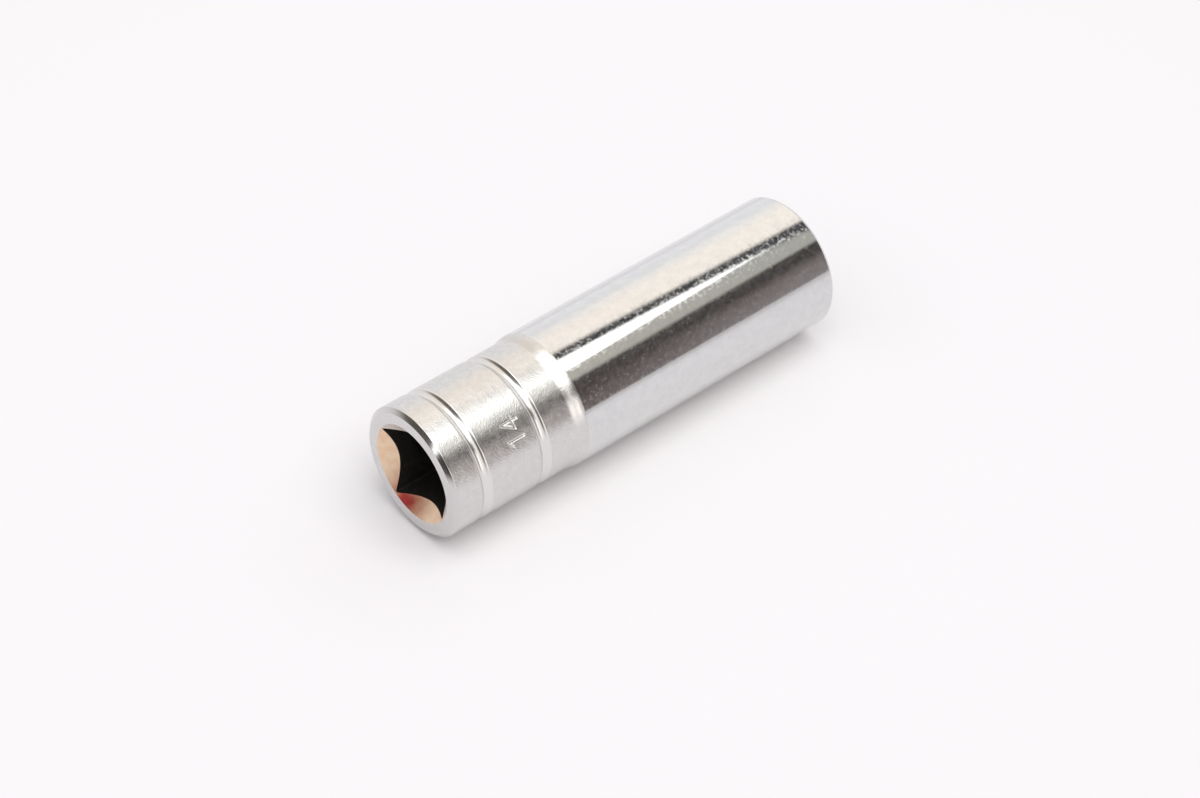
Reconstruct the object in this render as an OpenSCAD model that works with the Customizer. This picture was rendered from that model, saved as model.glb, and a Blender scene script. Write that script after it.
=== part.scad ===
// Spark plug socket with a square drive and a rubber plug grip.
// It stands on its plug end: the axis is Z, the plug end is at z = 0 and the drive end is on top.

/* [Outside] */
// Length from the plug end to the drive end
total_length = 63; // [56:0.5:90]
// Diameter of the polished barrel
barrel_d = 18.6; // [18:0.1:24]
// Diameter of the satin drive part
drive_d = 17.9; // [17:0.1:18]
// Distance from the drive end to where the shoulder starts to flare
shoulder_start = 18.7; // [16:0.1:24]
// Length of the flare from the drive part to the barrel
shoulder_length = 2; // [1.2:0.1:4]
// Radial size of the edge break at the drive end
drive_edge_r = 0.6; // [0.2:0.05:1]
// Axial size of the edge break at the drive end
drive_edge_h = 0.5; // [0.2:0.05:1]
// Radial size of the edge break at the plug end
plug_edge_r = 0.35; // [0.1:0.05:0.4]
// Axial size of the edge break at the plug end
plug_edge_h = 0.45; // [0.2:0.05:1]

/* [Turned grooves] */
// Distance from the drive end to the middle of the upper groove
upper_groove_at = 4.75; // [3:0.05:6]
// Distance from the drive end to the middle of the lower groove
lower_groove_at = 14.05; // [12:0.05:15]
// Width of each groove
groove_w = 1.45; // [0.8:0.05:1.8]
// Depth of each groove
groove_depth = 0.4; // [0.2:0.05:0.5]

/* [Square drive] */
// Width of the square across its flats
square_af = 9.6; // [9.5:0.02:9.8]
// Diameter across the relieved corners of the square
square_corner_d = 13.3; // [12.9:0.05:13.4]
// Depth of the square from the drive end
square_depth = 11.5; // [10.5:0.1:13]
// Angle of the lead-in cone to the axis
square_lead_angle = 50; // [40:1:60]
// How far the rim of that cone lies outside the relieved corners
square_lead_margin = 0.2; // [0.05:0.05:0.4]
// Distance from the drive end to the middle of the detent recesses
detent_at = 5.8; // [5:0.1:6.5]
// Depth of each detent recess in the middle of its flat
detent_depth = 0.55; // [0.3:0.05:0.8]
// Radius of the detent recess along the axis
detent_r = 2.1; // [1.5:0.1:2.5]

/* [Plug hexagon] */
// Width of the hexagon across its flats
hex_af = 14.2; // [14:0.05:14.4]
// Depth of the hexagon from the plug end
hex_depth = 15; // [10:0.5:18]
// Angle of the hexagon's lead-in cone to the axis
hex_lead_angle = 45; // [30:1:60]
// How far the rim of that cone lies outside the hexagon's corners
hex_lead_margin = 0.05; // [0.05:0.05:0.2]

/* [Bore] */
// Diameter of the clearance bore for the plug's insulator
bore_d = 13.6; // [13.5:0.05:13.9]
// Length of the cone that closes the bore under the square
bore_cone_h = 1.2; // [0.6:0.1:2]

/* [Plug grip sleeve] */
// Distance from the end of the hexagon to the sleeve
sleeve_setback = 4; // [2:0.5:8]
// Length of the sleeve
sleeve_length = 18; // [14:0.5:20]
// Diameter of the hole that grips the insulator
sleeve_hole_d = 9.6; // [9:0.1:10.5]
// Length of the lead-in cone at each end of the hole
sleeve_lead_h = 1.2; // [0.5:0.1:2]
// Radial size of that lead-in cone
sleeve_lead_r = 0.8; // [0.3:0.1:1]
// Height of the retaining bead above the sleeve
bead_h = 0.5; // [0.3:0.05:0.7]
// Width of the retaining bead
bead_w = 3; // [2:0.1:4]
// Gap left all round between the sleeve and the body
sleeve_gap = 0.05; // [0.02:0.01:0.1]

/* [Hidden] */
$fn = 96;

barrel_r = barrel_d / 2;
drive_r = drive_d / 2;
bore_r = bore_d / 2;
// How far a cut reaches past the face that it opens
past = 1;
// Heights above the plug end
shoulder_top = total_length - shoulder_start;
shoulder_bottom = shoulder_top - shoulder_length;
square_bottom = total_length - square_depth;
sleeve_bottom = hex_depth + sleeve_setback;
sleeve_middle = sleeve_bottom + sleeve_length / 2;
// The flare is two arcs of one radius that meet in the middle, each turned through twice the flare's own angle
flare_rise = barrel_r - drive_r;
flare_turn = 2 * atan(flare_rise / shoulder_length);
flare_r = shoulder_length / (2 * sin(flare_turn));
// A groove is a round-bottomed cut of this radius
groove_r = groove_w * groove_w / (8 * groove_depth) + groove_depth / 2;
hex_corner_r = hex_af / 2 / cos(30);

// Half of the outside in section: radius along X, height along Y
module outside_section() {
    difference() {
        union() {
            square([barrel_r, shoulder_bottom]);
            translate([0, shoulder_bottom]) flare_section();
            translate([0, shoulder_top]) square([drive_r, shoulder_start]);
        }
        for (at = [upper_groove_at, lower_groove_at])
            translate([drive_r - groove_depth + groove_r, total_length - at]) circle(groove_r);
        translate([drive_r, total_length]) edge_break(drive_edge_r, drive_edge_h);
        translate([barrel_r, 0]) edge_break(plug_edge_r, plug_edge_h);
    }
}

// The flare in section: a convex arc out of the barrel, then a concave arc into the drive part
module flare_section() {
    half = shoulder_length / 2;
    middle_r = (barrel_r + drive_r) / 2;
    intersection() {
        square([barrel_r, half]);
        union() {
            translate([barrel_r - flare_r, 0]) circle(flare_r);
            square([barrel_r - flare_r, half]);
        }
    }
    difference() {
        translate([0, half]) square([middle_r, half]);
        translate([drive_r + flare_r, shoulder_length]) circle(flare_r);
    }
}

// A lozenge that breaks an outer corner by r across and h along the axis
module edge_break(r, h) {
    polygon([[-r, 0], [0, -h], [r, 0], [0, h]]);
}

// A cone that widens to rim_r at z = 0 and opens upwards past the face
module lead_in(rim_r, angle) {
    depth = rim_r / tan(angle);
    translate([0, 0, -depth]) cylinder(r1 = 0, r2 = rim_r + past * tan(angle), h = depth + past);
}

// The square hole with relieved corners, its lead-in and the ring that leaves a recess in each flat
module square_cut() {
    intersection() {
        translate([-square_af / 2, -square_af / 2, square_bottom])
            cube([square_af, square_af, square_depth + past]);
        translate([0, 0, square_bottom]) cylinder(d = square_corner_d, h = square_depth + past);
    }
    translate([0, 0, total_length]) lead_in(square_corner_d / 2 + square_lead_margin, square_lead_angle);
    translate([0, 0, total_length - detent_at])
        rotate_extrude() translate([square_af / 2 + detent_depth - detent_r, 0]) circle(detent_r);
}

// The hexagon with its lead-in
module hex_cut() {
    translate([0, 0, -past]) cylinder(r = hex_corner_r, h = hex_depth + past, $fn = 6);
    mirror([0, 0, 1]) lead_in(hex_corner_r + hex_lead_margin, hex_lead_angle);
}

// The clearance bore, its cone under the square and the groove for the sleeve's bead
module bore_cut() {
    translate([0, 0, hex_depth - past]) cylinder(r = bore_r, h = square_bottom - bore_cone_h - hex_depth + past);
    translate([0, 0, square_bottom - bore_cone_h]) cylinder(r1 = bore_r, r2 = square_af / 2, h = bore_cone_h);
    translate([0, 0, sleeve_middle - bead_w / 2 - sleeve_gap])
        cylinder(r = bore_r + bead_h, h = bead_w + 2 * sleeve_gap);
}

module socket_body() {
    color("silver") difference() {
        rotate_extrude() outside_section();
        square_cut();
        bore_cut();
        hex_cut();
    }
}

module plug_grip_sleeve() {
    sleeve_r = bore_r - sleeve_gap;
    hole_r = sleeve_hole_d / 2;
    color("#1c1c1c") translate([0, 0, sleeve_bottom]) rotate_extrude() {
        difference() {
            translate([hole_r, 0]) square([sleeve_r - hole_r, sleeve_length]);
            for (end = [0, sleeve_length])
                translate([hole_r, end]) edge_break(sleeve_lead_r, sleeve_lead_h);
        }
        translate([hole_r + sleeve_lead_r, (sleeve_length - bead_w) / 2])
            square([sleeve_r + bead_h - hole_r - sleeve_lead_r, bead_w]);
    }
}

socket_body();
plug_grip_sleeve();
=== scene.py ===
# %% [markdown]
# # A spark plug socket
# A spark plug socket is a deep steel tube. One end has a square hole for the ratchet, the other a hexagon
# for the plug, and a rubber sleeve between them holds the plug by its insulator. The construction comes
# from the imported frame. This lesson gives it its looks: surfaces fine enough for mirror chrome, the
# finishes, and a small studio with a camera.

# %% Load the frame
import math

import bpy
import numpy as np
from mathutils import Matrix, Vector


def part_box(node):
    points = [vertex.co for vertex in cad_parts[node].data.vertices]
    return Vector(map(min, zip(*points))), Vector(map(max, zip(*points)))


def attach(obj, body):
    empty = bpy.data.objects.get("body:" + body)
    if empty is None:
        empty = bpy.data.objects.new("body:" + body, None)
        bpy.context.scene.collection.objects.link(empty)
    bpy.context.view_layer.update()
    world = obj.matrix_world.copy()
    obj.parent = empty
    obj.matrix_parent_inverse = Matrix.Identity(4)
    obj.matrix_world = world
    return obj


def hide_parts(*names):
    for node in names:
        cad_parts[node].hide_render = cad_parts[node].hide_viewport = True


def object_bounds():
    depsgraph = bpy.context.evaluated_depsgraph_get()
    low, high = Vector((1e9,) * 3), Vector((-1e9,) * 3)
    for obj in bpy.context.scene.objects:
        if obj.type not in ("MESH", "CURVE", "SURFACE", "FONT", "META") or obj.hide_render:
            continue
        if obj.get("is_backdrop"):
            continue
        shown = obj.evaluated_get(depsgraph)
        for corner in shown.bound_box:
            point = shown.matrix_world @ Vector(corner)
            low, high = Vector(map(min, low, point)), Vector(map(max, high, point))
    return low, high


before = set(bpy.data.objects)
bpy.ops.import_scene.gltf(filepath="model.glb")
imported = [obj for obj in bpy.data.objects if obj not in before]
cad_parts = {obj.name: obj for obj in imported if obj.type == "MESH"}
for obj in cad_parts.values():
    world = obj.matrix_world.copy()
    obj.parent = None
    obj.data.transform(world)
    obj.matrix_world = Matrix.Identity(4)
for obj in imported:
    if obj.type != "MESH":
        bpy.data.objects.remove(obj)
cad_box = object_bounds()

MM = 0.001
print("frame nodes:", sorted(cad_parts))

# %% [markdown]
# ## The main sizes
# The frame is in metres, and this script works in millimetres, because that is how a turner thinks of a
# socket. Length and radius are read from the frame, so that the looks can never be another size than the
# construction. The axis is Z. The plug end stands at height 0 and the drive end is on top.

# %% Read the length and the radius
body_high = np.array(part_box("socket_body")[1]) / MM
total_length = body_high[2]
barrel_r = body_high[0]
print(f"length {total_length:.2f} mm, barrel radius {barrel_r:.2f} mm")

# %% [markdown]
# ## The camera
# In the photograph the socket lies on a white table. Here it stands, so the table becomes a plane along
# the barrel, and the camera is turned with it. Three directions describe that table: up away from it, the
# socket's own axis, and across the socket. The camera could be turned by three angles in Blender, but it
# is easier to follow when it is built from what a photographer would say: how far down it looks, how far
# it is swung from the axis, what it aims at and from where.

# %% Directions of the table and the camera
table_turn = -12.88
table_up = Vector((math.cos(math.radians(table_turn)), math.sin(math.radians(table_turn)), 0))
socket_axis = Vector((0, 0, 1))
table_across = socket_axis.cross(table_up)

look_down = math.radians(42.1)
swing = math.radians(49.2)
aim_height = 34.08
aim_up = -3.45
aim_across = -1.81
camera_distance = 379
lens_mm = 89.25
sensor_mm = 36
nearest_seen = 10

level = -math.cos(swing) * socket_axis + math.sin(swing) * table_across
forward = math.cos(look_down) * level - math.sin(look_down) * table_up
right = forward.cross(table_up).normalized()
camera_up = right.cross(forward)
aim = aim_height * socket_axis + aim_up * table_up + aim_across * table_across

camera = bpy.data.objects.new("camera", bpy.data.cameras.new("camera"))
camera.data.lens = lens_mm
camera.data.sensor_width = sensor_mm
camera_place = Matrix((right, camera_up, -forward)).transposed().to_4x4()
camera_place.translation = (aim - camera_distance * forward) * MM
camera.matrix_world = camera_place
camera.data.clip_start = nearest_seen * MM
bpy.context.scene.collection.objects.link(camera)
bpy.context.scene.camera = camera
print("camera at", [round(x / MM, 1) for x in camera_place.translation], "mm")

# %% [markdown]
# ## Nodes as arithmetic
# A shader is a graph of nodes. Written link by link it is long and hard to read, so one small class wraps
# an output of a node. Arithmetic on it adds Math nodes, and `make` adds any other node: first its
# settings, then the values or links of its sockets.

# %% A wire of a node tree
class Wire:
    """An output of a node, or only a tree where there is no node or no output."""

    def __init__(self, tree, node=None, output=0):
        self.tree = tree
        self.node = node
        self.socket = node.outputs[output] if node and node.outputs else None

    def __getitem__(self, output):
        """Another output of the same node, by name or number."""
        return Wire(self.tree, self.node, output)

    def make(self, kind, settings=None, inputs=None):
        """Adds a node of this kind. A ramp's stops are pairs of place and colour."""
        node = self.tree.nodes.new(kind)
        for name, value in (settings or {}).items():
            if name == "stops":
                elements = node.color_ramp.elements
                while len(elements) < len(value):
                    elements.new(1.0)
                for stop, (position, colour) in zip(elements, value):
                    stop.position = position
                    stop.color = (*colour, 1)
            else:
                setattr(node, name, value)
        for name, value in (inputs or {}).items():
            if isinstance(value, Wire):
                self.tree.links.new(value.socket, node.inputs[name])
            else:
                node.inputs[name].default_value = value
        return Wire(self.tree, node)

    def math(self, operation, *values):
        """A Math node of these numbers or wires."""
        return self.make("ShaderNodeMath", {"operation": operation}, dict(enumerate(values)))

    def vector(self, operation, *values):
        """A Vector Math node of these vectors or wires."""
        return self.make("ShaderNodeVectorMath", {"operation": operation}, dict(enumerate(values)))

    def __add__(self, other):
        return self.math("ADD", self, other)

    def __sub__(self, other):
        return self.math("SUBTRACT", self, other)

    def __mul__(self, other):
        return self.math("MULTIPLY", self, other)

    def __rsub__(self, other):
        return self.math("SUBTRACT", other, self)

    __radd__ = __add__
    __rmul__ = __mul__

    def dot(self, direction):
        """How far this vector reaches along a direction."""
        return self.vector("DOT_PRODUCT", self, tuple(direction))["Value"]

    def step(self, low, high):
        """0 below low, 1 above high, and a smooth S between them."""
        values = {"Value": self, "From Min": low, "From Max": high}
        return self.make("ShaderNodeMapRange", {"interpolation_type": "SMOOTHSTEP"}, values)

    def mix(self, first, second):
        """The colour first where this wire is 0 and second where it is 1."""
        first, second = (c if isinstance(c, Wire) else (*c, 1) for c in (first, second))
        return self.make("ShaderNodeMix", {"data_type": "RGBA"}, {0: self, 6: first, 7: second})[2]


print("wires can add, subtract, multiply, step and mix")

# %% [markdown]
# ## The studio
# Chrome has hardly any look of its own: what is seen on it is the room. The bands along the barrel are a
# bright soft lamp overhead, its black frame, a cream wall behind, and the dim room in front of the table.
# They could be built as cards and lamps round the socket. Here they are painted on the world, as colours
# by the angle about the socket's axis, so that each band is a line or two of a list. Only rays that come
# off the metal see them. The camera sees white paper, and everything matt gets plain soft light.

# %% Plain colours of the studio
paper_white = (0.945, 0.922, 0.928)
soft_light = (0.563, 0.556, 0.603)
floor_pale = (0.93, 0.91, 0.92)
lamp_white = (2.5, 2.5, 2.45)
frame_black = (0.07, 0.07, 0.07)
dim_room = (0.05, 0.045, 0.04)
far_wall = (0.62, 0.58, 0.54)
print("paper", paper_white, "and lamp", lamp_white)

# %% [markdown]
# Lists of pairs give the room's colours by the angle about the axis. Angles are in degrees from straight
# up, and grow towards the camera. What the barrel shows lies towards the plug end. That takes two lists,
# because the bands change a little on the way to the barrel's far end.

# %% The room towards the plug end
plug_side = [
    (-95, floor_pale),
    (-89, (1.06, 1.06, 1.08)),
    (-68, (1.05, 1.04, 1.04)),
    (-58, (1.20, 1.15, 1.08)),
    (-40, (1.33, 1.22, 1.11)),
    (0, (1.33, 1.22, 1.11)),
    (3, (0.67, 0.64, 0.56)),
    (37, (0.60, 0.575, 0.51)),
    (41.5, (0.10, 0.092, 0.085)),
    (58, (0.09, 0.072, 0.07)),
    (70, (0.125, 0.098, 0.095)),
    (90, (0.20, 0.165, 0.16)),
    (92.5, (0.72, 0.69, 0.69)),
    (135, floor_pale),
]
# Further off in the same direction
plug_side_far = [
    (-95, floor_pale),
    (-89, (1.06, 1.06, 1.09)),
    (-68, (1.06, 1.06, 1.08)),
    (-58, (1.20, 1.16, 1.12)),
    (-40, (1.32, 1.25, 1.13)),
    (0, (1.34, 1.24, 1.13)),
    (3, (0.55, 0.54, 0.49)),
    (35, (0.54, 0.53, 0.48)),
    (39.5, (0.072, 0.066, 0.058)),
    (53, (0.072, 0.064, 0.06)),
    (67, (0.235, 0.20, 0.195)),
    (90, (0.31, 0.28, 0.28)),
    (92.5, (0.74, 0.71, 0.72)),
    (135, floor_pale),
]
print(len(plug_side), "and", len(plug_side_far), "colours towards the plug end")

# %% [markdown]
# The shoulder, the grooves and the edges slant, so they show other parts of the room. Beside the socket
# the lamp is wider, and a bright window follows it. A step on towards the drive end, the gap between lamp
# and window is closed. Past the drive end the room is dim, but for the end of the lamp.

# %% The room beside the socket and past its drive end
window = (1.75, 1.68, 1.62)
beside = [
    (-95, floor_pale),
    (-80, (0.97, 0.95, 0.93)),
    (-60, (1.08, 0.99, 0.90)),
    (-26, (1.02, 0.93, 0.83)),
    (-17, lamp_white),
    (39, lamp_white),
    (44, (0.04, 0.036, 0.032)),
    (59, (0.04, 0.036, 0.032)),
    (64, window),
    (88, window),
    (97, floor_pale),
]
near_drive_end = [
    (-95, floor_pale),
    (-80, (1.03, 1.01, 0.99)),
    (-60, (1.10, 1.02, 0.93)),
    (-26, (1.08, 0.99, 0.89)),
    (-17, lamp_white),
    (30, lamp_white),
    (40, (1.12, 1.07, 1.0)),
    (90, (1.12, 1.08, 1.03)),
    (99, floor_pale),
]
past_drive_end = [
    (-95, floor_pale),
    (-84, (0.72, 0.70, 0.68)),
    (-69, (0.13, 0.12, 0.10)),
    (-6, (0.10, 0.09, 0.08)),
    (2, lamp_white),
    (19, lamp_white),
    (25, dim_room),
    (98, dim_room),
    (120, floor_pale),
]
print(len(beside + near_drive_end + past_drive_end), "colours beside it and towards the drive end")

# %% [markdown]
# Two numbers place a ray in the room. Its lean says how far it points along the axis, from 1 towards the
# plug end to -1 towards the drive end. The other is its angle about the axis. Both come from the ray's
# direction, which the world's texture coordinates give.

# %% A world that knows the lean and the angle of each ray
world = bpy.data.worlds.new("studio")
world.use_nodes = True
world.cycles.sampling_method = "NONE"
bpy.context.scene.world = world
world.node_tree.nodes.clear()
studio = Wire(world.node_tree)

ray = studio.make("ShaderNodeTexCoord")["Generated"]
lean = ray.dot(-socket_axis)
degrees = studio.math("ARCTAN2", ray.dot(-table_across), ray.dot(table_up)) * math.degrees(1)
print("rays measured with", len(world.node_tree.nodes), "nodes")

# %% [markdown]
# The overhead lamp narrows towards the plug end, and its black frame runs beside it. Each of their edges
# is an angle at the lamp's middle, and a drift in degrees along the lamp's run.

# %% Edges of the lamp and its frame
lamp_near = 0.455
lamp_middle = 0.484
lamp_far = 0.57
frame_edge_at = -13.5
frame_edge_drift = 128
lamp_start_at = 0.5
lamp_start_drift = 90
lamp_start_bend = 1400
lamp_end_at = 20.5
lamp_end_drift = -150

run = studio.math("MINIMUM", studio.math("MAXIMUM", lean, lamp_near), lamp_far) - lamp_middle
frame_edge = run * frame_edge_drift + frame_edge_at
lamp_start = run * run * lamp_start_bend + run * lamp_start_drift + lamp_start_at
lamp_end = run * lamp_end_drift + lamp_end_at
print(f"lamp from {lamp_start_at} to {lamp_end_at} degrees at its middle")

# %% [markdown]
# Now the parts of the room are joined. A soft step of the lean leads from one list of colours to the next,
# and the lamp and its frame are laid over them.

# %% Ramps over the angle, and soft bands
def ramp(board, angle, colours):
    """A colour ramp over a full turn. Colours are pairs of an angle in degrees and the colour there."""
    stops = [(at / 360 + 0.5, colour) for at, colour in colours]
    return board.make("ShaderNodeValToRGB", {"stops": stops}, {"Fac": angle * (1 / 360) + 0.5})


def between(value, low, high, low_blur, high_blur):
    """1 where value lies between the wires low and high, with soft edges."""
    return (value - low).step(-low_blur, low_blur) * (high - value).step(-high_blur, high_blur)


print("room helpers ready")

# %% Join the parts of the room
# How far the edges of the lamp and its frame are blurred, in degrees.
frame_edge_blur = 4.5
lamp_start_blur = 3
lamp_end_blur = 1.5
# Where one part of the room gives way to the next: a lean at the start and one at the end.
to_far_part = (0.47, 0.56)
to_frame = (0.37, 0.45)
from_beside = (0.24, 0.46)
from_near_drive_end = (-0.16, -0.02)
to_past_drive_end = (0.20, 0.44)
to_far_wall = (0.58, 0.64)
to_floor = (0.70, 0.78)
# On the camera's side the dim part past the drive end starts later. So does the far wall where the
# dark band lies.
camera_side = (0, 25)
camera_side_delay = 0.40
dark_band_start = (32, 40)
dark_band_end = (56, 68)
dark_band_delay = 0.16

near_part = ramp(studio, degrees, plug_side)
far_part = ramp(studio, degrees, plug_side_far)
room = lean.step(*to_far_part).mix(near_part, far_part)
in_frame = between(degrees, frame_edge, lamp_start, frame_edge_blur, lamp_start_blur)
room = (in_frame * lean.step(*to_frame)).mix(room, frame_black)
in_lamp = between(degrees, lamp_start, lamp_end, lamp_start_blur, lamp_end_blur)
room = in_lamp.mix(room, lamp_white)
room = lean.step(*from_beside).mix(ramp(studio, degrees, beside), room)
room = lean.step(*from_near_drive_end).mix(ramp(studio, degrees, near_drive_end), room)
past = 0 - lean - camera_side_delay * degrees.step(*camera_side)
room = past.step(*to_past_drive_end).mix(room, ramp(studio, degrees, past_drive_end))
dark_band = degrees.step(*dark_band_start) * (1 - degrees.step(*dark_band_end))
further = lean - dark_band_delay * dark_band
room = further.step(*to_far_wall).mix(room, far_wall)
room = further.step(*to_floor).mix(room, floor_pale)

path = studio.make("ShaderNodeLightPath")
seen = path["Is Glossy Ray"].mix(soft_light, room)
seen = path["Is Camera Ray"].mix(seen, paper_white)
background = studio.make("ShaderNodeBackground", None, {"Color": seen})
studio.make("ShaderNodeOutputWorld", None, {"Surface": background})
print("world painted:", len(world.node_tree.nodes), "nodes")

# %% [markdown]
# ## The table and the key lamp
# The table touches the barrel along one line. It is a single flat face that is seen from its front only
# and fades out at a distance, so that the socket can be looked at from behind too. One large soft lamp
# from above gives the shadow under the barrel. Its mirror image is already in the room's bands, so the
# lamp itself is kept out of reflections.

# %% Lay the table
table_gap = 0.02
table_half = 400
fade_start = 45
fade_end = 200
table_white = (0.966, 0.945, 0.925)

table_centre = -(barrel_r + table_gap) * table_up + total_length / 2 * socket_axis
corner_signs = ((-1, -1), (1, -1), (1, 1), (-1, 1))
corners = [table_centre + table_half * (a * table_across + b * socket_axis) for a, b in corner_signs]
table_mesh = bpy.data.meshes.new("table")
table_mesh.from_pydata([corner * MM for corner in corners], [], [(0, 1, 2, 3)])
table = bpy.data.objects.new("table", table_mesh)
bpy.context.scene.collection.objects.link(table)
table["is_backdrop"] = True

table_finish = bpy.data.materials.new("white_table")
table_finish.use_nodes = True
table_finish.node_tree.nodes.clear()
paper = Wire(table_finish.node_tree)
offset = paper.vector("SUBTRACT", paper.make("ShaderNodeTexCoord")["Object"], tuple(table_centre * MM))
distance = paper.vector("LENGTH", offset)["Value"]
faded = distance.step(fade_start * MM, fade_end * MM)
hidden = paper.math("MAXIMUM", faded, paper.make("ShaderNodeNewGeometry")["Backfacing"])
sheet = paper.make("ShaderNodeBsdfDiffuse", None, {"Color": (*table_white, 1)})
clear = paper.make("ShaderNodeBsdfTransparent")
surface = paper.make("ShaderNodeMixShader", None, {0: hidden, 1: sheet, 2: clear})
paper.make("ShaderNodeOutputMaterial", None, {"Surface": surface})
table_mesh.materials.append(table_finish)
print("table normal", [round(x, 3) for x in table_mesh.polygons[0].normal])

# %% Hang the key lamp
key_energy = 1.5
key_width = math.radians(54)
key_up = 0.9
key_to_camera = 0.32
key_to_drive_end = 0.01
key_from = key_up * table_up - key_to_camera * table_across + key_to_drive_end * socket_axis
key_from.normalize()

key = bpy.data.objects.new("key_lamp", bpy.data.lights.new("key_lamp", "SUN"))
key.data.energy = key_energy
key.data.angle = key_width
key.rotation_mode = "QUATERNION"
key.rotation_quaternion = key_from.to_track_quat("Z", "Y")
key.visible_glossy = False
bpy.context.scene.collection.objects.link(key)
print("key lamp shines from", [round(x, 2) for x in key_from])

# %% [markdown]
# ## The outside as a turned profile
# The outside was turned on a lathe, so it is one profile carried round the axis: the edge at the plug
# end, the barrel, the shoulder, the drive part with its two grooves, and the edge at the drive end. A
# polygon of sharp corners would do for the outline. But a polished edge shows a thin bright line, and
# only a small round can catch that, so every corner here is an arc. A profile is an array of (radius,
# height) pairs.

# %% Arcs and rounded corners
def arc(centre, radius, first, last, steps):
    """Points on a circle: centre plus radius times the cosine and sine of angles from first to last."""
    angle = np.linspace(first, last, steps + 1)
    return np.array(centre) + radius * np.column_stack((np.cos(angle), np.sin(angle)))


def rounded(before, corner, after, radius, steps=5):
    """The arc that rounds a corner. It touches both sides at radius times the tangent of half the turn."""
    before, corner, after = np.array(before), np.array(corner), np.array(after)
    come = (corner - before) / np.linalg.norm(corner - before)
    leave = (after - corner) / np.linalg.norm(after - corner)
    bend = math.atan2(come[0] * leave[1] - come[1] * leave[0], come @ leave)
    side = math.copysign(1, bend)
    inward = side * np.array((-come[1], come[0]))
    centre = corner - radius * math.tan(abs(bend) / 2) * come + radius * inward
    first = math.atan2(-inward[1], -inward[0])
    return arc(centre, radius, first, first + bend, steps)


def held(points, before, after):
    """A profile with one more row at each end, moved by before and after. These rows keep the shading
    of its bends away from the straight walls beside it."""
    return np.vstack((points[0] + np.array(before), points, points[-1] + np.array(after)))


print("a right angle rounded:", rounded((0, 0), (1, 0), (1, 1), 0.2, 2).round(3).tolist())

# %% The plug end's edge, the barrel and the shoulder
plug_edge_r = 0.35
plug_edge_h = 0.45
drive_r = 8.95
shoulder_start = 18.7
shoulder_length = 2
edge_round = 0.15
hold = 0.08
barrel_rows = 14
flare_steps = 8

face_edge = (barrel_r - plug_edge_r, 0)
side_edge = (barrel_r, plug_edge_h)
shoulder_top = total_length - shoulder_start
shoulder_bottom = shoulder_top - shoulder_length
plug_edge = np.vstack((
    rounded((0, 0), face_edge, side_edge, edge_round),
    rounded(face_edge, side_edge, (barrel_r, shoulder_bottom), edge_round),
))
plug_edge = held(plug_edge, (-hold, 0), (0, hold))
barrel_z = np.linspace(plug_edge[-1, 1], shoulder_bottom - hold, barrel_rows)[1:-1]
barrel = np.column_stack((np.full(len(barrel_z), barrel_r), barrel_z))

flare_turn = 2 * math.atan((barrel_r - drive_r) / shoulder_length)
flare_r = shoulder_length / (2 * math.sin(flare_turn))
shoulder = np.vstack((
    arc((barrel_r - flare_r, shoulder_bottom), flare_r, 0, flare_turn, flare_steps)[:-1],
    arc((drive_r + flare_r, shoulder_top), flare_r, math.pi + flare_turn, math.pi, flare_steps),
))
shoulder = held(shoulder, (0, -hold), (0, hold))
print(f"shoulder from {shoulder[0].round(2)} to {shoulder[-1].round(2)}")

# %% [markdown]
# Each groove is a round-bottomed cut. Its lips are arcs that touch the wall on one side and the cut on
# the other. The centre of such a lip lies where two distances are known: one lip radius inside the wall,
# and the lip radius plus the groove's own radius from the middle of the cut. That gives its height by
# Pythagoras. The lip towards the drive end is satin like the wall beside it, and the rest of the groove
# is brighter.

# %% The grooves and the drive end's edge
lower_groove_at = 14.05
upper_groove_at = 4.75
groove_w = 1.45
groove_depth = 0.4
lip_r = 0.2
lip_steps = 6
bottom_steps = 16
drive_edge_r = 0.6
drive_edge_h = 0.5
drive_edge_round = 0.14
drive_edge_steps = 8

groove_heights = [total_length - at for at in (lower_groove_at, upper_groove_at)]
groove_r = groove_w ** 2 / (8 * groove_depth) + groove_depth / 2


def groove(height):
    """Lower lip, round bottom and upper lip of a groove whose middle is at this height."""
    reach = groove_r + lip_r
    rise = math.sqrt(groove_depth * (2 * reach - groove_depth))
    slant = math.atan2(rise, reach - groove_depth)
    middle = (drive_r - groove_depth + groove_r, height)
    section = np.vstack((
        arc((drive_r - lip_r, height - rise), lip_r, 0, slant, lip_steps)[:-1],
        arc(middle, groove_r, math.pi + slant, math.pi - slant, bottom_steps)[:-1],
        arc((drive_r - lip_r, height + rise), lip_r, -slant, 0, lip_steps),
    ))
    return held(section, (0, -hold), (0, hold))


lower_groove, upper_groove = (groove(height) for height in groove_heights)
wall_edge = (drive_r, total_length - drive_edge_h)
top_edge = (drive_r - drive_edge_r, total_length)
drive_edge = np.vstack((
    rounded((drive_r, 0), wall_edge, top_edge, drive_edge_round, drive_edge_steps),
    rounded(wall_edge, top_edge, (0, total_length), drive_edge_round),
))
drive_edge = held(drive_edge, (0, -hold), (-hold, 0))
print(f"grooves at {np.round(groove_heights, 2)} mm, {groove_r:.3f} mm round")

# %% [markdown]
# ## The number on the drive part
# Sockets carry their size as a stamped number. This one has a plain 14, for the 14 mm hexagon, read from
# outside with the drive end up. The digits could be a texture, but a stamp is a real dent whose walls
# catch the light. So each digit is a few straight strokes, and every point of the wall moves inwards by
# how near it lies to a stroke.

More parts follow.
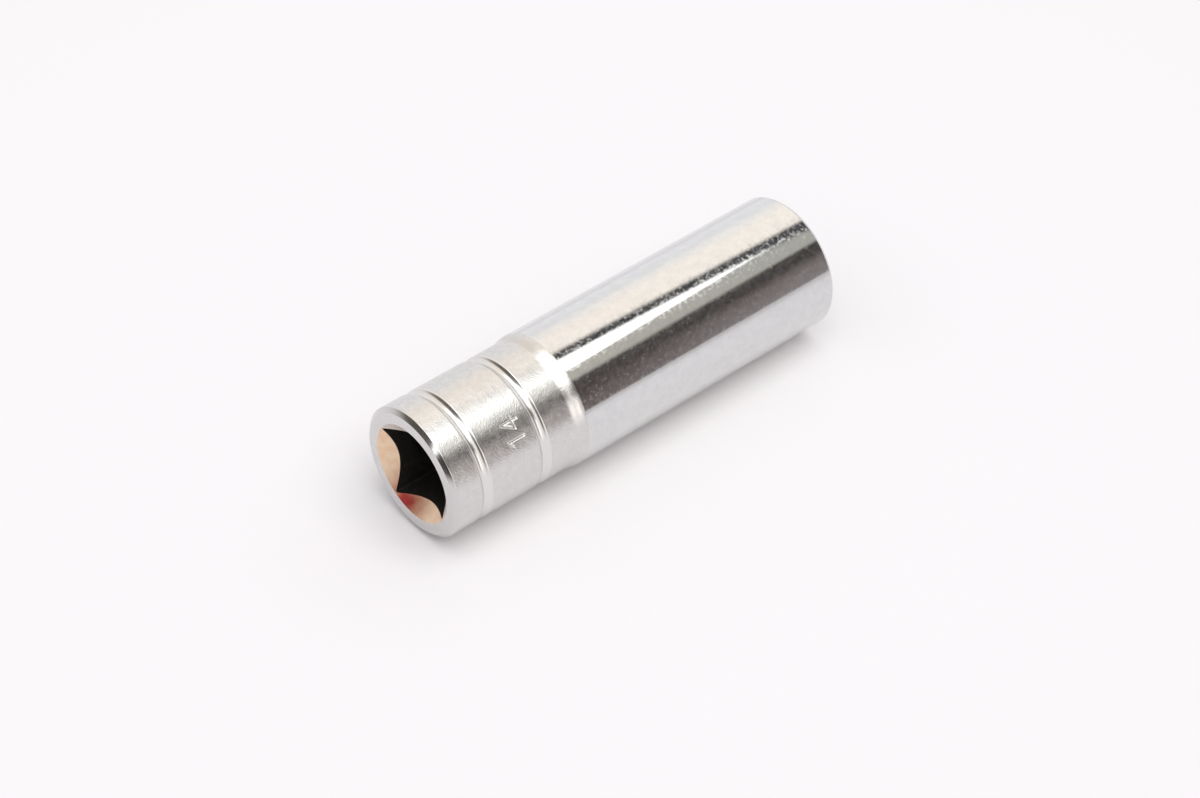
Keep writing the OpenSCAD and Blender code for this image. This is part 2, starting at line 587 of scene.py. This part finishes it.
# %% Strokes of the number
digit_h = 2.36
stamp_at = 10.5
stamp_depth = 0.11
stroke_half = 0.22
digit_turns = {"1": -71.9, "4": -57.8}
digit_strokes = {
    "1": [((-0.22, 0.30), (0.08, 0.50)), ((0.08, 0.50), (0.08, -0.50))],
    "4": [
        ((0.14, 0.50), (-0.30, -0.20)),
        ((-0.30, -0.20), (0.34, -0.20)),
        ((0.14, 0.50), (0.14, -0.50)),
    ],
}
stamp_height = total_length - stamp_at


def stroke_distance(across, height, start, end):
    """Distance of points from a straight stroke. The nearest point is where they project on the stroke,
    or the end of it that they lie past."""
    (sx, sy), (ex, ey) = (np.array(p) * digit_h for p in (start, end))
    dx, dy = ex - sx, ey - sy
    share = np.clip(((across - sx) * dx + (height - sy) * dy) / (dx * dx + dy * dy), 0, 1)
    return np.hypot(across - sx - share * dx, height - sy - share * dy)


def stamp(turns, heights):
    """Depth of the number at these angles and heights: a round-bottomed dent along every stroke."""
    nearest = np.full(np.broadcast(turns, heights).shape, np.inf)
    for digit, middle in digit_turns.items():
        across = drive_r * np.radians(turns - middle)
        for start, end in digit_strokes[digit]:
            gap = stroke_distance(across, heights - stamp_height, start, end)
            nearest = np.minimum(nearest, gap)
    return stamp_depth * np.clip(1 - (nearest / stroke_half) ** 2, 0, 1)


stamp_rows = 46
band_half = 0.62 * digit_h
stamp_band = np.column_stack((
    np.full(stamp_rows, drive_r),
    np.linspace(stamp_height - band_half, stamp_height + band_half, stamp_rows),
))
print("digits at", digit_turns)

# %% [markdown]
# ## The holes as polar outlines
# The square and the hexagon are not round, yet they can share the grid of the turned outside: seen along
# the axis, each is a radius that changes with the angle. A flat at distance h has the radius h /
# cos(angle from its middle). The square's corners are cut back to a circle. Columns are placed on every
# corner, so that edges stay crisp, and closer together under the number.

# %% Columns of the grid and the radius of each hole
square_half = 4.8
square_corner_r = 6.65
hex_half = 7.1
even_step = 1.5
stamp_step = 0.45
stamp_from = -80
stamp_to = -50
column_gap = 0.5

corner_turn = math.degrees(math.acos(square_half / square_corner_r))
even_turns = np.arange(-180, 180, even_step)
under_stamp = (even_turns >= stamp_from - column_gap) & (even_turns <= stamp_to + column_gap)
even_turns = even_turns[~under_stamp]
corner_turns = np.array([90 * k + s * corner_turn for k in (-2, -1, 0, 1) for s in (-1, 1)])
corner_turns = (corner_turns + 180) % 360 - 180
stamp_turns = np.arange(stamp_from, stamp_to, stamp_step)
turns = np.unique(np.concatenate((even_turns, corner_turns, stamp_turns)).round(6))
columns = len(turns)


def fold(turns, sides):
    """Angle from the middle of the nearest of so many flats, in radians. One of them faces angle 0."""
    pitch = 360 / sides
    return np.radians((turns + pitch / 2) % pitch - pitch / 2)


square_r = np.minimum(square_half / np.cos(fold(turns, 4)), square_corner_r)
hex_r = hex_half / np.cos(fold(turns - 30, 6))
print(f"{columns} columns")
print(f"square radius {square_r.min():.2f} to {square_r.max():.2f} mm")
print(f"hexagon radius {hex_r.min():.2f} to {hex_r.max():.2f} mm")

# %% [markdown]
# ## The inside, from the drive end down
# The square opens in a cone. Cone and flats meet along curves, which show as four pale crescents. To keep
# those curves exact, each column of the grid ends the cone at its own height: where the cone's radius
# equals the square's. Half way down, a turned ring leaves a hollow in each flat for the ratchet's ball.
# Below the square, the bore widens in a cone, has a groove for the sleeve's bead, and ends in the hexagon
# with its own lead-in.

# %% Rows of the square drive
square_lead = math.radians(50)
square_lead_margin = 0.2
rim_round = 0.1
rim_steps = 4
cone_rows = 6
square_depth = 11.5
wall_rows = 4
detent_at = 5.8
detent_depth = 0.55
detent_r = 2.1
detent_rows = 30
detent_margin = 0.05


def rows(first, last, count):
    """count + 1 rows from first to last, where both are one value or one per column."""
    share = np.linspace(0, 1, count + 1)[:, None]
    return (1 - share) * first + share * last


square_bottom = total_length - square_depth
rim_r = square_corner_r + square_lead_margin
cone_slope = 1 / math.tan(square_lead)
rim = (rim_r, total_length)
cone_foot = (0, total_length - rim_r * cone_slope)
square_rim = rounded((drive_r, total_length), rim, cone_foot, rim_round, rim_steps)
square_rim = np.vstack((square_rim[0] + np.array((hold, 0)), square_rim))
cone_r = rows(square_rim[-1, 0], square_r, cone_rows)
cone_z = total_length - (rim_r - cone_r) * cone_slope

detent_height = total_length - detent_at
detent_half = math.sqrt(detent_r ** 2 - (detent_r - detent_depth) ** 2) + detent_margin
detent_top = detent_height + detent_half
detent_bottom = detent_height - detent_half
wall_z = np.vstack((
    rows(cone_z[-1], detent_top, wall_rows)[1:-1],
    rows(detent_top, detent_bottom, detent_rows) + np.zeros(columns),
    rows(detent_bottom, square_bottom, wall_rows)[1:] + np.zeros(columns),
))
ring = np.sqrt(np.maximum(detent_r ** 2 - (wall_z - detent_height) ** 2, 0))
wall_r = np.maximum(square_r, square_half + detent_depth - detent_r + ring)
print(f"the cone meets the flats {total_length - cone_z[-1].min():.2f} mm down")
print(f"the hollow reaches {wall_r[:, turns == 0].max():.2f} mm from the axis")

# %% Rows of the bore and the hexagon
bore_r = 6.8
bore_cone_h = 1.2
under_lip = 0.05
bead_groove_r = 7.3
bead_groove_half = 1.55
sleeve_middle = 28
hex_depth = 15
hex_lead = math.radians(45)
hex_lead_margin = 0.05
hex_wall_rows = 8
hex_cone_rows = 5

bore = np.array([
    (square_half - under_lip, square_bottom),
    (bore_r, square_bottom - bore_cone_h),
    (bore_r, sleeve_middle + bead_groove_half),
    (bead_groove_r, sleeve_middle + bead_groove_half),
    (bead_groove_r, sleeve_middle - bead_groove_half),
    (bore_r, sleeve_middle - bead_groove_half),
    (bore_r, hex_depth),
])
hex_rim_r = hex_half / math.cos(math.radians(30)) + hex_lead_margin
hex_slope = 1 / math.tan(hex_lead)
hex_cone_top = (hex_rim_r - hex_r) * hex_slope
hex_wall_z = rows(hex_depth, hex_cone_top, hex_wall_rows)
hex_cone_r = rows(hex_r, hex_rim_r, hex_cone_rows)[1:-1]
hex_cone_z = (hex_rim_r - hex_cone_r) * hex_slope
hex_apex = (0, hex_rim_r * hex_slope)
hex_rim = rounded(hex_apex, (hex_rim_r, 0), (barrel_r, 0), rim_round, rim_steps)
hex_rim = np.vstack((hex_rim, hex_rim[-1] + np.array((hold, 0))))
print(f"hexagon lead-in {hex_cone_top.max():.2f} mm deep")

# %% [markdown]
# ## One closed grid
# All rows in order make one loop: up the outside, over the drive end, down through the holes and back
# along the plug end. Carried round the axis, that loop is a closed skin like a ring's, with no seam and
# no pole to mend. Each stretch of rows also says which finish its faces get.

# %% Put a grid into a mesh
sharp_angle = math.radians(25)


def grid_piece(name, radius, height, turns, finish_rows=None):
    """A closed skin of the points (radius cos turn, radius sin turn, height). Each row is joined to the
    next and the last to the first, both along the section and round the axis. finish_rows gives the
    number of each row's material."""
    angle = np.radians(turns)
    points = np.stack((radius * np.cos(angle), radius * np.sin(angle), height), axis=-1) * MM
    count, width = radius.shape
    number = np.arange(count * width).reshape(count, width)
    next_column = np.roll(number, -1, axis=1)
    next_row = np.roll(number, -1, axis=0)
    next_both = np.roll(next_column, -1, axis=0)
    faces = np.stack((number, next_column, next_both, next_row), axis=-1).reshape(-1, 4)
    mesh = bpy.data.meshes.new(name)
    mesh.vertices.add(count * width)
    mesh.vertices.foreach_set("co", points.astype(np.float32).ravel())
    mesh.loops.add(faces.size)
    mesh.loops.foreach_set("vertex_index", faces.astype(np.int32).ravel())
    mesh.polygons.add(len(faces))
    mesh.polygons.foreach_set("loop_start", np.arange(0, faces.size, 4, dtype=np.int32))
    mesh.polygons.foreach_set("use_smooth", np.ones(len(faces), bool))
    if finish_rows is not None:
        mesh.polygons.foreach_set("material_index", np.repeat(finish_rows, width).astype(np.int32))
    mesh.update(calc_edges=True)
    mesh.validate()
    mesh.set_sharp_from_angle(angle=sharp_angle)
    piece = bpy.data.objects.new(name, mesh)
    bpy.context.scene.collection.objects.link(piece)
    return piece


def profile(points, count=columns):
    """Radius and height of a turned profile, repeated for so many columns."""
    return points[:, :1] + np.zeros(count), points[:, 1:] + np.zeros(count)


print("grid helper ready for", columns, "columns")

# %% Assemble the socket's skin
BRIGHT, SATIN, TURNED, LEAD_IN, DARK, DULL = range(6)
blasted_rows = lip_steps

stamp_r, stamp_z = profile(stamp_band)
stamp_r = stamp_r - stamp(turns, stamp_z)
stretches = [
    (*profile(plug_edge), BRIGHT),
    (*profile(barrel), BRIGHT),
    (*profile(shoulder), SATIN),
    (*profile(lower_groove[:-blasted_rows]), TURNED),
    (*profile(lower_groove[-blasted_rows:]), SATIN),
    (stamp_r, stamp_z, SATIN),
    (*profile(upper_groove[:-blasted_rows]), TURNED),
    (*profile(upper_groove[-blasted_rows:]), SATIN),
    (*profile(drive_edge[:-1]), TURNED),
    (*profile(drive_edge[-1:]), SATIN),
    (*profile(square_rim[:-1]), SATIN),
    (cone_r[:-1], cone_z[:-1], LEAD_IN),
    (cone_r[-1:], cone_z[-1:], DARK),
    (wall_r, wall_z, DARK),
    (*profile(bore), DARK),
    (np.tile(hex_r, (len(hex_wall_z), 1)), hex_wall_z, DULL),
    (hex_cone_r, hex_cone_z, SATIN),
    (*profile(hex_rim), SATIN),
]
skin_r = np.vstack([radius for radius, height, finish in stretches])
skin_z = np.vstack([height for radius, height, finish in stretches])
skin_finish = np.concatenate([np.full(len(radius), finish) for radius, height, finish in stretches])
socket = grid_piece("socket_skin", skin_r, skin_z, turns, skin_finish)
print(f"socket skin: {len(skin_r)} rows, {2 * len(socket.data.polygons)} triangles")

# %% [markdown]
# ## The rubber sleeve
# The sleeve is a soft moulded ring. Its bead sits in the body's groove and its hole has a lead-in at both
# ends. Rubber never has a knife edge, so all corners of its section are rounded before it is carried
# round the axis.

# %% Turn the sleeve's section
sleeve_gap = 0.05
sleeve_bottom = 19
sleeve_top = 37
sleeve_hole_r = 4.8
sleeve_lead_h = 1.2
sleeve_lead_r = 0.8
bead_half = 1.5
rubber_round = 0.22
sleeve_step = 2.5

sleeve_r = bore_r - sleeve_gap
bead_r = bead_groove_r - sleeve_gap
sleeve_corners = np.array([
    (sleeve_r, sleeve_bottom),
    (sleeve_r, sleeve_middle - bead_half),
    (bead_r, sleeve_middle - bead_half),
    (bead_r, sleeve_middle + bead_half),
    (sleeve_r, sleeve_middle + bead_half),
    (sleeve_r, sleeve_top),
    (sleeve_hole_r + sleeve_lead_r, sleeve_top),
    (sleeve_hole_r, sleeve_top - sleeve_lead_h),
    (sleeve_hole_r, sleeve_bottom + sleeve_lead_h),
    (sleeve_hole_r + sleeve_lead_r, sleeve_bottom),
])
before = np.roll(sleeve_corners, 1, axis=0)
after = np.roll(sleeve_corners, -1, axis=0)
neighbours = zip(before, sleeve_corners, after)
sleeve_section = np.vstack([rounded(a, corner, b, rubber_round) for a, corner, b in neighbours])
sleeve_turns = np.arange(-180, 180, sleeve_step)
sleeve_grid = profile(sleeve_section, len(sleeve_turns))
sleeve = grid_piece("rubber_sleeve", *sleeve_grid, sleeve_turns)
print(f"sleeve: {2 * len(sleeve.data.polygons)} triangles")

# %% [markdown]
# ## The finishes
# All finishes start the same way: a material with an empty tree, and the place on the piece in
# millimetres. A noise whose scale is one over a size in millimetres then has grains of that size.

# %% Helpers for finishes
def new_finish(name):
    """A material with an empty tree, a wire on that tree, and the place on the piece in millimetres."""
    material = bpy.data.materials.new(name)
    material.use_nodes = True
    material.node_tree.nodes.clear()
    board = Wire(material.node_tree)
    place = board.make("ShaderNodeTexCoord")["Object"]
    place = board.make("ShaderNodeVectorMath", {"operation": "SCALE"}, {0: place, "Scale": 1 / MM})
    return material, board, place


def noise(place, size, detail=2.0, stretch=(1, 1, 1)):
    """Noise from 0 to 1 with grains of about size millimetres, drawn out along an axis by stretch."""
    pulled = place.vector("DIVIDE", place, stretch)
    return place.make("ShaderNodeTexNoise", None, {"Vector": pulled, "Scale": 1 / size, "Detail": detail})


def relief(board, height):
    """A Bump node for a height in millimetres."""
    return board.make("ShaderNodeBump", None, {"Height": height, "Distance": MM})["Normal"]


def coat(board, **inputs):
    """The shader that ends a finish, with its sockets given by name, spaces written as underscores."""
    sockets = {name.replace("_", " "): value for name, value in inputs.items()}
    shader = board.make("ShaderNodeBsdfPrincipled", None, sockets)
    board.make("ShaderNodeOutputMaterial", None, {"Surface": shader})


print("finish helpers ready")

# %% [markdown]
# ### Bright chrome on the barrel
# The barrel was ground, buffed and plated. It mirrors the room, but not perfectly: the ground shows as a
# faint orange peel, buffing left fine rings, the plating is faintly clouded, and tiny pits and specks
# scatter the light.

# %% Bright chrome
chrome_grey = (0.655, 0.655, 0.66)
chrome_pale = (0.695, 0.695, 0.695)

bright, board, place = new_finish("bright_chrome")
specks = noise(place, size=0.22, detail=3).step(0.67, 0.74)
haze = noise(place, size=0.45, detail=5).step(0.42, 0.78)
film = noise(place, size=0.6, detail=4).step(0.36, 0.72)
cloud = noise(place, size=1.3, detail=4).step(0.32, 0.68)
rings = noise(place, size=0.12, detail=2, stretch=(40, 40, 1))
peel = noise(place, size=0.9, detail=1)
coat(
    board,
    Base_Color=cloud.mix(chrome_grey, chrome_pale),
    Metallic=1 - 0.055 * film,
    Roughness=0.05 + 0.17 * haze + 0.15 * specks,
    Normal=relief(board, 0.0016 * peel + 0.0004 * rings - 0.002 * specks),
)
print("bright chrome:", len(bright.node_tree.nodes), "nodes")

# %% [markdown]
# ### Satin chrome on the drive part
# The drive part was blasted before plating, so that a hand can hold it. The blast left a fine grain that
# blurs the room's bands into soft ones, and the tops of the grain are a little dull.

# %% Satin chrome
satin_grey = (0.63, 0.622, 0.615)
satin_pale = (0.68, 0.67, 0.66)

satin, board, place = new_finish("satin_chrome")
grain = noise(place, size=0.18, detail=3)
dents = noise(place, size=0.8, detail=2)
cloud = noise(place, size=0.9, detail=5).step(0.3, 0.7)
coat(
    board,
    Base_Color=cloud.mix(satin_grey, satin_pale),
    Metallic=1 - 0.09 * grain.step(0.42, 0.68),
    Roughness=0.22 + 0.05 * cloud,
    Normal=relief(board, 0.023 * grain + 0.007 * dents),
)
print("satin chrome:", len(satin.node_tree.nodes), "nodes")

# %% [markdown]
# The grooves and the edge of the drive end were cut after blasting, so they are smoother than the satin
# round them, though never buffed like the barrel.

# %% Turned chrome
groove_pale = (0.735, 0.725, 0.715)
edge_grey = (0.64, 0.63, 0.625)
edge_zone = (total_length - 2, total_length - 1)

turned, board, place = new_finish("turned_chrome")
cloud = noise(place, size=1.0, detail=3)
rings = noise(place, size=0.1, detail=2, stretch=(40, 40, 1))
at_edge = place.dot(socket_axis).step(*edge_zone)
coat(
    board,
    Base_Color=at_edge.mix(groove_pale, edge_grey),
    Metallic=1.0,
    Roughness=0.21 - 0.08 * at_edge + 0.08 * cloud,
    Normal=relief(board, 0.0012 * rings),
)
print("turned chrome:", len(turned.node_tree.nodes), "nodes")

# %% [markdown]
# ### The lead-in of the square
# Plating hardly reaches into a hole. In the cone the copper that was laid under the chrome shows through:
# tan where a little chrome covers it, brown where there is less, and red in one corner where there is
# none.

# %% Copper under thin chrome
copper_red = (0.41, 0.043, 0.036)
copper_brown = (0.53, 0.21, 0.125)
tan_deep = (0.865, 0.612, 0.405)
tan_pale = (0.912, 0.70, 0.503)
plate_grey = (0.66, 0.65, 0.63)
# Where the copper lies, and over which distances in millimetres one colour gives way to the next.
copper_side = (-0.707, 0.707, 0)
bare_spot = (-5.6, 3.3, 62.6)
plate_to_copper = (-1.5, 1.0)
red_to_brown = (1.1, 2.4)
brown_to_tan = (1.5, 5.5)

lead_in, board, place = new_finish("lead_in_copper")
patches = noise(place, size=1.2, detail=3)
plated = 1 - place.dot(copper_side).step(*plate_to_copper)
from_spot = place.vector("DISTANCE", place, bare_spot)["Value"] + 1.2 * patches
tan = patches.step(0.35, 0.65).mix(tan_deep, tan_pale)
brown = from_spot.step(*brown_to_tan).mix(copper_brown, tan)
copper = from_spot.step(*red_to_brown).mix(copper_red, brown)
coat(
    board,
    Base_Color=plated.mix(copper, plate_grey),
    Metallic=0.45 + 0.55 * plated,
    Roughness=0.38 + 0.12 * patches,
    Normal=relief(board, 0.004 * noise(place, size=0.15, detail=2)),
)
print("lead-in:", len(lead_in.node_tree.nodes), "nodes")

# %% [markdown]
# ### The dark inside
# Deeper down, in the square's flats and the bore, the inside is near black, with a little brown
# in patches.

# %% The near-black inside, and the dull plate of the hexagon with painted shade deeper in
inside_near_black = (0.008, 0.007, 0.006)
inside_dark_brown = (0.026, 0.020, 0.016)
plate_dull = (0.40, 0.39, 0.37)
plate_worn = (0.52, 0.51, 0.49)
# The hexagon's plate turns to this dark colour deeper in the hole, as painted shade.
hex_painted_shade = (0.07, 0.062, 0.055)
plate_to_painted_shade = (1.5, 13)

dark, board, place = new_finish("near_black_inside")
patches = noise(place, size=0.8, detail=4)
coat(
    board,
    Base_Color=patches.step(0.45, 0.75).mix(inside_near_black, inside_dark_brown),
    Metallic=0.3,
    Roughness=0.55 + 0.2 * patches,
    Normal=relief(board, 0.01 * patches),
)

dull, board, place = new_finish("dull_plate_and_painted_shade")
patches = noise(place, size=1.0, detail=3)
# Painted shade: the hexagon's plate darkens with depth into the hole.
depth = place.dot(socket_axis) + 2 * patches
plate = patches.mix(plate_dull, plate_worn)
coat(
    board,
    Base_Color=depth.step(*plate_to_painted_shade).mix(plate, hex_painted_shade),
    Metallic=1.0,
    Roughness=0.36 + 0.15 * patches,
    Normal=relief(board, 0.006 * noise(place, size=0.12, detail=2)),
)
print("black scale and dull plate made")

# %% [markdown]
# ### Rubber
# Moulded rubber is nearly black and matt. A grey bloom of talc lies on it in soft patches, and the mould
# left a fine grain.

# %% Rubber
rubber_black = (0.018, 0.018, 0.019)
talc_grey = (0.05, 0.05, 0.052)

rubber, board, place = new_finish("grip_rubber")
bloom = noise(place, size=2.2, detail=4)
grain = noise(place, size=0.14, detail=2)
coat(
    board,
    Base_Color=bloom.step(0.4, 0.8).mix(rubber_black, talc_grey),
    Roughness=0.55 + 0.25 * bloom,
    Normal=relief(board, 0.012 * grain),
)
print("rubber:", len(rubber.node_tree.nodes), "nodes")

# %% [markdown]
# ## Hand over to the frame
# Each piece gets its finishes, rides on the only body of the part, and stands for the node of the
# construction that it covers. At the end the box of the construction and the box of the looks are written
# side by side.

# %% Dress and finish
for material in (bright, satin, turned, lead_in, dark, dull):
    socket.data.materials.append(material)
sleeve.data.materials.append(rubber)
dressed = (
    (socket, "socket_body", "plated_steel"),
    (sleeve, "plug_grip_sleeve", "grip_rubber"),
)
for piece, node, slot in dressed:
    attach(piece, "root")
    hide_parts(node)

bpy.context.scene.view_settings.view_transform = "Standard"
looks_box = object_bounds()
for name, box in (("construction", cad_box), ("looks", looks_box)):
    print(name, "from and to, in mm:", [[round(x / MM, 3) for x in corner] for corner in box])
